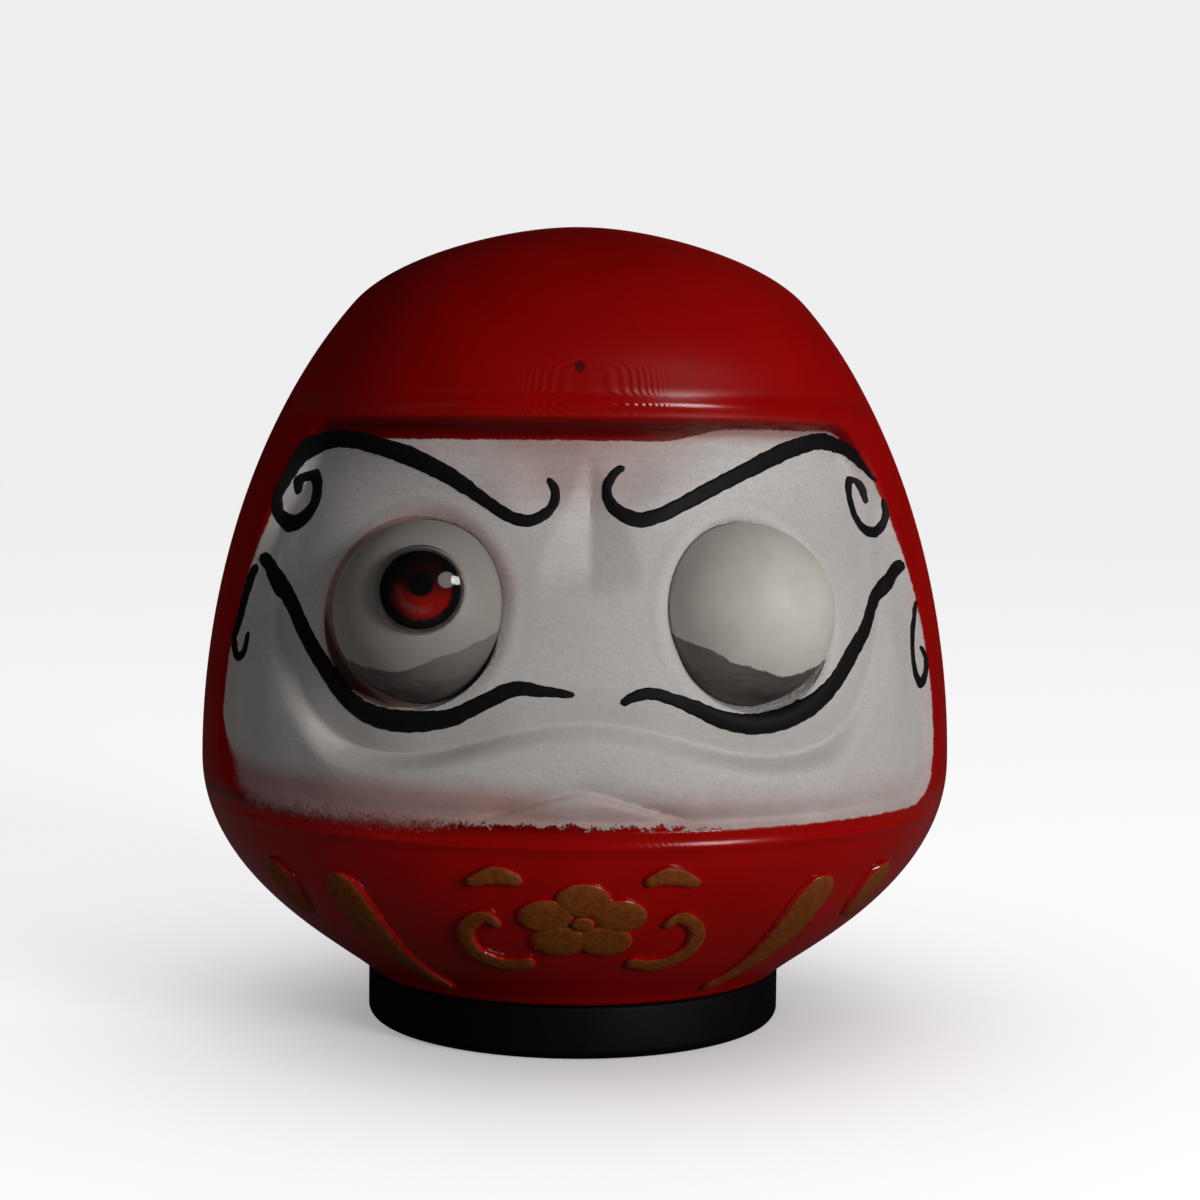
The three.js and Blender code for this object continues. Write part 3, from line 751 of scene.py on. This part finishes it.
def store_paint(piece):
    """Gives the shell's material what it needs to know of the paint at each point."""
    x, y, z = vertices(piece).T
    azimuth = np.degrees(np.arctan2(x, -y))
    far_outside = -20
    store(piece, "white", np.where(np.abs(azimuth) < FACE_REACH, face_paint(azimuth, z), far_outside))
    store(piece, "thin", paint_thinness(azimuth, z))
    store(piece, "ragged", 0.2 + 0.8 * smooth(z, 47, 43) * smooth(azimuth, 24, 10))
    store(piece, "faded", 2.2 * smooth(z, 50, 44) * smooth(azimuth, -12, -28))
    store(piece, "glossy", hump(rim_distance(azimuth, z) + 0.3, 0.7))
    # painted shade: darker red under the brow's overhang, and in a band just below the white's lower edge
    under_brow = smooth(z, 94, 96) * smooth(inside_face(azimuth, z), -0.6, 1.2)
    under_chin = 0.9 * hump(z - 40.3, 0.8) * smooth(azimuth, 16, -6)
    store(piece, "painted_shade", np.maximum(under_brow, under_chin))
    store(piece, "bare", under_brow * smooth(azimuth, 6, 20) * smooth(azimuth, 52, 44))
    # painted shade in the band above the fold, where the face turns down into it; the face below the brows
    # is greyed by half
    fold = fold_height(np.abs(azimuth))
    above_fold = smooth(z, fold + 10, fold + 2) * smooth(z, fold - 0.5, fold + 0.5)
    store(piece, "dull", np.maximum(above_fold, 0.5 * smooth(z, 90, 80)))


def front_shell():
    piece = half_body("fine_front_shell", 0, FRONT_COLUMNS, FRONT_ROWS)
    hollow = cavity()
    outer_cup = arc(CUP_RADIUS, -CUP_TIP, 0, 24) + [(CUP_RADIUS, CUP_REACH)]
    for side in (-1, 1):
        cut(hollow, cup(side, outer_cup))
    cut(piece, hollow)
    cut(piece, foot_opening())
    # each socket hugs its ball to just past the middle, then opens a little to a flush rim
    flush_rim = [(SOCKET_RADIUS + 0.2, 3.4), (SOCKET_RADIUS + 0.6, CUP_REACH)]
    socket = arc(BALL_RADIUS + BALL_CLEARANCE, -CUP_TIP, 9, 34) + flush_rim
    for side in (-1, 1):
        cut(piece, cup(side, socket))
    # the left one is cut wider in front of a ledge
    ledge_cut = [(0.5, 2.0), (BALL_RADIUS, 2.0), (SOCKET_RADIUS - 0.1, 2.3),
                 (SOCKET_RADIUS + 0.1, CUP_REACH)]
    cut(piece, cup(-1, ledge_cut, LEDGE_SHIFT))
    shade(piece, 50)
    store_paint(piece)
    set_material(piece, shell_material())
    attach(piece, "root")
    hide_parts("front_shell")
    return piece


def rear_shell():
    piece = half_body("fine_rear_shell", 180, REAR_COLUMNS, REAR_ROWS)
    cut(piece, cavity())
    cut(piece, foot_opening())
    shade(piece, 50)
    set_material(piece, red_material())
    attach(piece, "root")
    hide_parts("rear_shell")
    return piece


# ---- painted strokes and raised ornament ----
def smooth_line(points, step):
    """A smooth line through (azimuth, height, width) points, cut into steps of about step mm."""
    p = np.asarray(points, float)
    chord = np.linalg.norm(np.diff(p[:, :2], axis=0), axis=1)
    t = np.concatenate([[0], np.cumsum(np.sqrt(chord))])
    slope = np.gradient(p, t, axis=0)
    fine = np.linspace(0, t[-1], 60 * len(p))
    k = np.clip(np.searchsorted(t, fine) - 1, 0, len(t) - 2)
    h = (t[k + 1] - t[k])[:, None]
    u = (fine - t[k])[:, None] / h
    line = ((2 * u**3 - 3 * u**2 + 1) * p[k] + (u**3 - 2 * u**2 + u) * h * slope[k]
            + (3 * u**2 - 2 * u**3) * p[k + 1] + (u**3 - u**2) * h * slope[k + 1])
    scale = body_radius(line[:, 0], line[:, 1]) * np.pi / 180
    steps = np.hypot(np.diff(line[:, 0]) * scale[1:], np.diff(line[:, 1]))
    run = np.concatenate([[0], np.cumsum(steps)])
    even = np.linspace(0, run[-1], max(8, int(run[-1] / step)))
    return np.stack([np.interp(even, run, line[:, i]) for i in range(3)], axis=1), even


def edge_noise(along, side, seed):
    """Noise along a stroke, different on its two edges."""
    return noise.noise(Vector((along * 0.9, math.copysign(7.3, side), seed)))


def stroke(name, points, height, root, squareness, wobble=0.0, step=0.5, across=11):
    """A brush stroke or rib that stands height out of the body and reaches root into it."""
    line, run = smooth_line(points, step)
    azimuth, z, width = line.T
    scale = body_radius(azimuth, z) * np.pi / 180
    ahead = np.stack([np.gradient(azimuth) * scale, np.gradient(z)], axis=1)
    ahead /= np.linalg.norm(ahead, axis=1)[:, None]
    cap = width / 2
    near_end = np.minimum(run / cap, (run[-1] - run) / cap)
    taper = np.sqrt(np.clip(1 - np.clip(1 - near_end, 0, 1) ** 2, 0.004, 1))
    # u runs over the top from edge to edge, then back underneath
    u = np.concatenate([np.linspace(-1, 1, across), [1, 0, -1]])
    on_top = np.arange(len(u)) < across
    profile = (1 - np.abs(u) ** squareness) ** DOME_POWER
    lift = np.where(on_top, height * (0.2 + 0.8 * profile), -root)
    lifts = lift[None, :] * np.where(on_top, np.sqrt(taper)[:, None], 1)
    edge = np.array([[edge_noise(along, side, len(name)) for side in u] for along in run])
    offset = (cap[:, None] + wobble * edge) * taper[:, None] * u[None, :]
    grid_azimuth = azimuth[:, None] + ahead[:, 1:2] * offset / scale[:, None]
    grid_z = z[:, None] - ahead[:, 0:1] * offset
    piece = skin(name, on_body(grid_azimuth, grid_z, lifts), smooth_angle=60)
    tops = np.where(on_top, profile, 0)[None, :] * np.minimum(taper * 1.4, 1)[:, None]
    store(piece, "top", np.append(tops.ravel(), [0, 0]))
    return piece


def mirrored(points):
    """The same stroke on the other side of the body."""
    return [(-azimuth, z, width) for azimuth, z, width in points]


# Each stroke is a list of (azimuth, height, width) points.
BRUSH_STROKES = {
    "brow_left": [
        (-58, 86.5, 0.8), (-58, 89, 1.2), (-55.5, 89.5, 2), (-53, 87.2, 2.4), (-52.5, 85, 2.8),
        (-54, 83, 3), (-57.5, 82.2, 2.6), (-60, 83.5, 1.7), (-60.5, 86, 1.3), (-59.5, 89, 1.2),
        (-58, 92, 1.4), (-55.5, 94.2, 2), (-52, 95, 2.6), (-45.5, 95, 2.6), (-38, 94, 2.6),
        (-31, 92.5, 2.8), (-25, 90.5, 2.6), (-20.5, 88.5, 2.3), (-16, 86, 1.8), (-12, 84, 1.8),
        (-9.3, 83.5, 1.8), (-6.7, 84.5, 1.6), (-5.3, 86, 1.4), (-5.2, 88, 1.3), (-6.5, 89.7, 0.9)],
    "brow_right": [
        (6.5, 91.4, 0.9), (4.8, 90.5, 1.2), (3.5, 88.8, 1.4), (3.5, 87, 1.5), (4.7, 85.3, 1.9),
        (6.7, 84.2, 2.2), (8.7, 83.8, 2.2), (12, 84.5, 2.1), (15.5, 86, 2.2), (24, 89.5, 2.3),
        (34, 93, 2.6), (39.5, 94.5, 2.6), (46, 95.5, 2.6), (51.5, 95.2, 2.2), (55.5, 94, 1.2),
        (57.5, 92.2, 0.6), (59.5, 89.5, 0.4)],
    "brow_curl_right": [
        (58, 86, 0.7), (58, 88, 0.9), (57.2, 89.7, 1), (55.5, 89.3, 1.6), (54, 87.5, 1.6),
        (53.3, 84.5, 1.8), (54.2, 82.6, 2), (56.2, 81.8, 1.8), (59, 82, 1.4), (60.5, 84, 0.9),
        (60.3, 87, 0.5)],
    "moustache_left": [
        (-61.8, 77.2, 1.8), (-57.6, 75, 2.6), (-51.3, 71, 2.9), (-45.8, 66, 2.9),
        (-41.2, 61.8, 2.8), (-37.4, 58.1, 2.8), (-33.8, 55.7, 3), (-29, 54.5, 3.2),
        (-23.9, 54.5, 3), (-19.1, 55.4, 2.6), (-14.7, 57.5, 2.4), (-10.1, 59.7, 2.2),
        (-6.2, 59.5, 1.7), (-1.5, 59, 0.8)],
    "moustache_curl_left": [
        (-62.2, 75.8, 1.6), (-63.2, 71.5, 1.6), (-64, 66.5, 1.4), (-64.5, 64, 1.2),
        (-63.2, 61.5, 1.4), (-61.5, 62.5, 1.6), (-61.2, 65.5, 1.4)],
    "moustache_right": [
        (4.8, 57.8, 1), (7.3, 59, 1.6), (9.5, 59.2, 1.8), (12.5, 58.3, 1.8), (16, 56.9, 2.2),
        (20, 55.2, 2.6), (25.3, 54.4, 3), (30.1, 55, 3.1), (35.5, 57, 3), (39.4, 59.7, 2.8),
        (43.4, 63.6, 2.8), (47.9, 67.4, 2.6), (52.2, 72, 2.4), (58.2, 74.9, 2.2), (62.6, 76.9, 1.8)],
    "moustache_curl_right": [
        (64, 71, 0.8), (63, 68.5, 0.9), (61.7, 65, 1.3), (61, 62, 1.7), (61.4, 59.8, 2),
        (62.8, 58.1, 1.6), (64.2, 59.5, 1.2), (64.7, 62, 0.9), (63.6, 64, 0.9)],
}

GOLD_STROKES = {
    "gold_inner": [
        (38.5, 31.6, 6.6), (38, 28.5, 7.8), (37.6, 24.5, 8), (37.5, 20.5, 7.4), (36.8, 16.5, 5.8),
        (34.5, 13, 3.6), (30.5, 10.8, 1.6)],
    "gold_outer": [
        (54, 31.5, 5.6), (53, 28.5, 7.4), (53, 25.5, 6.4), (54.5, 22, 3.4)],
}
# The motif's points are (across, up, width), from its centre.
SPRIG = [(6.5, -10.5, 2.2), (11.5, -11.5, 2.8), (16, -8, 3), (17, -2.5, 2.6), (14, 1.2, 2.2),
         (11.8, -1.6, 1.6)]
LEAF = [(8.5, 9.4, 1.6), (12.5, 11, 3.2), (17, 8.8, 1.4)]
PETALS, PETAL_AT, PETAL_RADIUS, HEART_RADIUS = 5, 5.6, 4.3, 1.9


def brush_strokes():
    ink = ink_material()
    for name, points in BRUSH_STROKES.items():
        piece = stroke(name, points, INK_HEIGHT, INK_ROOT, 4, wobble=0.16, step=0.4)
        piece.data.materials.append(ink)
        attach(piece, "root")


def on_belly(across, up):
    """Azimuth and height of a place on the sloping belly, from the motif's centre."""
    z = MOTIF_HEIGHT + np.asarray(up, float) * MOTIF_SLOPE
    return np.degrees(across / body_radius(0, z)), z


def petal(name, across, up, radius, rise):
    """A domed disc that stands rise out of the belly."""
    steps = np.linspace(1, 0.05, 12)
    turn = np.linspace(0, 2 * np.pi, 48, endpoint=False)
    profile = (1 - steps**5) ** DOME_POWER
    size = np.concatenate([[1.02], steps]) * radius
    lift = np.concatenate([[-RELIEF_ROOT], rise * profile])
    azimuth, z = on_belly(across + np.outer(size, np.cos(turn)), up + np.outer(size, np.sin(turn)))
    piece = skin(name, on_body(azimuth, z, lift[:, None]), smooth_angle=60)
    tops = np.repeat(np.concatenate([[0], profile]), len(turn))
    store(piece, "top", np.append(tops, [0, 1]))
    return piece


def ornament():
    pieces = [petal("blossom_heart", 0, 0, HEART_RADIUS, RELIEF * 1.4)]
    for i in range(PETALS):
        turn = math.pi / 2 + i * 2 * math.pi / PETALS
        place = PETAL_AT * math.cos(turn), PETAL_AT * math.sin(turn)
        pieces.append(petal(f"blossom_petal_{i + 1}", *place, PETAL_RADIUS, RELIEF))
    strokes = dict(GOLD_STROKES)
    for name, points in (("sprig", SPRIG), ("leaf", LEAF)):
        strokes[name] = [(*map(float, on_belly(across, up)), width) for across, up, width in points]
    for name, points in strokes.items():
        for side, placed in (("right", points), ("left", mirrored(points))):
            pieces.append(stroke(f"{name}_{side}", placed, RELIEF, RELIEF_ROOT, 3.5, wobble=0.2))
    gold = relief_material()
    for piece in pieces:
        piece.data.materials.append(gold)
        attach(piece, "root")


# ---- eyes ----
def gaze():
    """The way the left eye looks."""
    azimuth, elevation = math.radians(GAZE_AZIMUTH), math.radians(GAZE_ELEVATION)
    level = math.cos(elevation)
    return np.array([level * math.sin(azimuth), -level * math.cos(azimuth), math.sin(elevation)])


def store_wash(piece, side):
    """The grey wash lies under a line that falls from the nose and rises again at the temple.

    Places here are in radii of the ball, and away is counted towards the temple.
    """
    local = (vertices(piece) - eye_centre(side)) / BALL_RADIUS
    away = local[:, 0] * side
    falling, rising = -0.5 - 0.44 * away, -0.83 + 0.42 * away
    line = (falling + rising) / 2 + np.hypot((falling - rising) / 2, 0.09) - 0.03
    depth = line - local[:, 2]
    store(piece, "wash", depth * BALL_RADIUS)
    store(piece, "wash_tone", 0.75 * smooth(away, 0.5, -0.5) - 0.5 * smooth(depth, 0.1, 0.4) + 0.3)
    store(piece, "pale", np.full(len(local), 1.0 if side > 0 else 0.0))


def eye_ball(name, side, profile):
    direction = gaze() if side < 0 else eye_direction(side)
    low = eye_centre(side) - BALL_RADIUS * direction
    rings = aim(lathe_rings(profile, 96), eye_centre(side), direction)
    high = eye_centre(side) + profile[-1][1] * direction
    piece = skin(f"fine_{name}", rings, low, high)
    store_wash(piece, side)
    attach(piece, "root")
    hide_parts(name)
    return piece


def eyes():
    white = ball_material()
    flat_angle = math.degrees(math.asin(IRIS_FLAT / BALL_RADIUS))
    with_flat = arc(BALL_RADIUS, -BALL_TIP, flat_angle, 60) + [(0.4, IRIS_FLAT)]
    whole = arc(BALL_RADIUS, -BALL_TIP, BALL_TIP, 90) + [(0.1, BALL_RADIUS)]
    for name, side, profile in (("eye_ball_left", -1, with_flat), ("eye_ball_right", 1, whole)):
        eye_ball(name, side, profile).data.materials.append(white)
    iris()
    return cornea()


def iris():
    """A slightly domed disc with its own coordinates across and up, from -1 to 1."""
    low = IRIS_FLAT + GAP
    edge = low + 0.45
    profile = [(IRIS_RADIUS * 0.98, low), (IRIS_RADIUS, low + 0.1)]
    profile += [(IRIS_RADIUS * s, edge + IRIS_DOME * (1 - s * s)) for s in np.linspace(1, 0.02, 24)]
    rings = aim(lathe_rings(profile, 96), eye_centre(-1), gaze())
    piece = skin("fine_iris", rings, high_tip=eye_centre(-1) + (edge + IRIS_DOME) * gaze())
    local = (vertices(piece) - eye_centre(-1)) / IRIS_RADIUS
    right = np.cross([0, 0, 1], gaze())
    right /= np.linalg.norm(right)
    store(piece, "iris_x", local @ right)
    store(piece, "iris_y", local @ np.cross(gaze(), right))
    piece.data.materials.append(iris_material())
    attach(piece, "root")
    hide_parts("iris_left")


def cornea():
    """A watch glass over the iris: a low dome with a rounded edge, on a wall that stands on the ball."""
    low = IRIS_FLAT + GAP
    roof = low + CORNEA_ROOM
    top = roof + CORNEA_DOME - 0.2
    inner = CORNEA_RADIUS - CORNEA_WALL
    outer = CORNEA_RADIUS - 0.08
    shoulder = CORNEA_RADIUS - CORNEA_EDGE
    rise = CORNEA_DOME - CORNEA_ROOM
    dome_radius = (shoulder**2 + rise**2) / (2 * rise)
    start = math.degrees(math.acos(shoulder / dome_radius))
    dome = arc(dome_radius, start, CUP_TIP, 24, (0, top - dome_radius))
    edge_height = dome[0][1] - CORNEA_EDGE * math.sin(math.radians(start))
    rounding = arc(CORNEA_EDGE, 0, start, 12, (outer - CORNEA_EDGE, edge_height))
    profile = [(0.3, roof), (inner, roof), (inner, low), (outer, low)] + rounding + dome
    rings = aim(lathe_rings(profile, 96), eye_centre(-1), gaze())
    low_tip, high_tip = (eye_centre(-1) + height * gaze() for height in (roof, top))
    piece = skin("fine_cornea", rings, low_tip, high_tip, 50)
    piece.data.materials.append(clear_material())
    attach(piece, "root")
    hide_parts("cornea_left")
    return piece


# ---- foot ----
def foot():
    """The round base, rounded below, with the ring that enters the body and holds the ballast."""
    low_edge = arc(FOOT_EDGE, -90, 0, 12, (FOOT_RADIUS - FOOT_EDGE, FOOT_EDGE))
    high_edge = arc(FOOT_TOP_EDGE, 0, 90, 6, (FOOT_RADIUS - FOOT_TOP_EDGE, FOOT_HEIGHT - FOOT_TOP_EDGE))
    inner = SPIGOT_RADIUS - SPIGOT_WALL
    ring = [(SPIGOT_RADIUS, FOOT_HEIGHT), (SPIGOT_RADIUS, FOOT_TOP), (inner, FOOT_TOP), (inner, FOOT_FLOOR)]
    profile = [(0.5, 0), (20, 0)] + low_edge + high_edge + ring + [(0.5, FOOT_FLOOR)]
    piece = skin("fine_foot", lathe_rings(profile, 160), (0, 0, 0), (0, 0, FOOT_FLOOR))
    piece.data.materials.append(foot_material())
    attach(piece, "root")
    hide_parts("foot")
    return piece


def carried_over():
    """The hidden CAD pieces keep their meshes and get finished materials."""
    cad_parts["ballast_disc"].data.materials.clear()
    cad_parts["ballast_disc"].data.materials.append(steel_material())
    wood = dowel_material()
    for name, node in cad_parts.items():
        if name.startswith("dowel"):
            node.data.materials.clear()
            node.data.materials.append(wood)


# ---- stage ----
# Places here are in metres, and angles in degrees.
CAMERA_DISTANCE, CAMERA_HEIGHT = 0.380, 0.0915
CAMERA_AZIMUTH, CAMERA_PITCH, CAMERA_YAW, CAMERA_ROLL = -1.4, 3.37, 0.58, 0.64
LENS, SENSOR_WIDTH = 68.4, 36  # millimetres
MIDDLE = (0, 0, 0.075)
BACKDROP_LIGHT, BACKDROP_SEEN = 0.01, 0.86
FLOOR_REACH, FLOOR_DROP = 8.0, 0.00005
FLOOR_BOUNCE = (0.06, 0.055, 0.055, 1)
FLOOR_SEEN = (0.82, 0.82, 0.82, 1)


def camera():
    data = bpy.data.cameras.new("camera")
    data.lens, data.sensor_width = LENS, SENSOR_WIDTH
    data.clip_start, data.clip_end = 0.01, 50
    view = bpy.data.objects.new("camera", data)
    bpy.context.scene.collection.objects.link(view)
    azimuth = math.radians(CAMERA_AZIMUTH)
    place = Matrix.Translation((CAMERA_DISTANCE * math.sin(azimuth), -CAMERA_DISTANCE * math.cos(azimuth),
                                CAMERA_HEIGHT))
    turn = Matrix.Rotation(azimuth - math.radians(CAMERA_YAW), 4, "Z")
    tilt = Matrix.Rotation(math.radians(90 - CAMERA_PITCH), 4, "X")
    roll = Matrix.Rotation(math.radians(CAMERA_ROLL), 4, "Z")
    view.matrix_world = place @ turn @ tilt @ roll
    bpy.context.scene.camera = view


def lamp(name, place, target, size, power, colour=(1, 1, 1)):
    data = bpy.data.lights.new(name, "AREA")
    data.shape, data.size, data.energy, data.color = "DISK", size, power, colour
    light = bpy.data.objects.new(name, data)
    light.location = place
    light.rotation_mode = "QUATERNION"
    light.rotation_quaternion = (Vector(target) - Vector(place)).to_track_quat("-Z", "Y")
    bpy.context.scene.collection.objects.link(light)
    return light


def collection(name, members):
    """A collection that only says which objects a light reaches."""
    made = bpy.data.collections.new(name)
    for member in members:
        made.objects.link(member)
    return made


def lights(body, glass):
    """A key from the right, a weak fill from the left, a light behind the body and a spark on the glass."""
    key = lamp("key", place=(0.80, -0.96, 0.34), target=MIDDLE, size=0.5, power=9.8,
               colour=(1.0, 0.985, 0.97))
    not_glass = collection("not_lit_by_key", [glass])
    not_glass.collection_objects[0].light_linking.link_state = "EXCLUDE"
    key.light_linking.receiver_collection = not_glass
    spark = lamp("spark", place=(0.645, -0.75, 0.775), target=eye_centre(-1) * MM, size=0.22, power=1.6)
    spark.light_linking.receiver_collection = collection("lit_by_spark", [glass])
    fill = lamp("fill", place=(-1.15, -0.6, 0.02), target=(0, 0, 0.06), size=0.9, power=3.0)
    fill.visible_glossy = False
    back = lamp("back", place=(0.2, 1.3, 0.28), target=MIDDLE, size=0.9, power=7.0)
    back.visible_glossy = False
    back.light_linking.receiver_collection = collection("lit_by_back", body)


def backdrop():
    """A pale surround for the camera that lights the doll very little."""
    world = bpy.data.worlds.new("studio")
    bpy.context.scene.world = world
    world.use_nodes = True
    tree = world.node_tree
    seen = tree.nodes.new("ShaderNodeLightPath").outputs["Is Camera Ray"]
    strength = tree.nodes.new("ShaderNodeMapRange")
    tree.links.new(seen, strength.inputs["Value"])
    strength.inputs["To Min"].default_value = BACKDROP_LIGHT
    strength.inputs["To Max"].default_value = BACKDROP_SEEN
    tree.links.new(strength.outputs[0], tree.nodes["Background"].inputs["Strength"])
    tree.nodes["Background"].inputs["Color"].default_value = (1, 1, 1, 1)


def floor():
    """A pale floor under its own wide sun, which sends little light back onto the doll."""
    square = ((-1, -1), (1, -1), (1, 1), (-1, 1))
    corners = [(x * FLOOR_REACH, y * FLOOR_REACH, -FLOOR_DROP) for x, y in square]
    mesh = bpy.data.meshes.new("floor")
    mesh.from_pydata(corners, [], [(0, 1, 2, 3)])
    ground = bpy.data.objects.new("floor", mesh)
    bpy.context.scene.collection.objects.link(ground)
    n = Nodes("pale_floor")
    seen = n.node("ShaderNodeLightPath").outputs["Is Camera Ray"]
    ground.data.materials.append(n.finish(
        Base_Color=n.mix(seen, FLOOR_BOUNCE, FLOOR_SEEN), Roughness=0.9, Specular_IOR_Level=0.0,
        Emission_Color=(1, 1, 1, 1), Emission_Strength=n.product(seen, 0.3)))
    data = bpy.data.lights.new("overhead", "SUN")
    data.energy, data.angle = 2.1, math.radians(100)
    overhead = bpy.data.objects.new("overhead", data)
    bpy.context.scene.collection.objects.link(overhead)
    overhead.light_linking.receiver_collection = collection("lit_by_overhead", [ground])


camera()
body = [front_shell(), rear_shell(), foot()]
brush_strokes()
ornament()
glass = eyes()
carried_over()
lights(body, glass)
backdrop()
floor()
bpy.context.scene.view_settings.view_transform = "Standard"
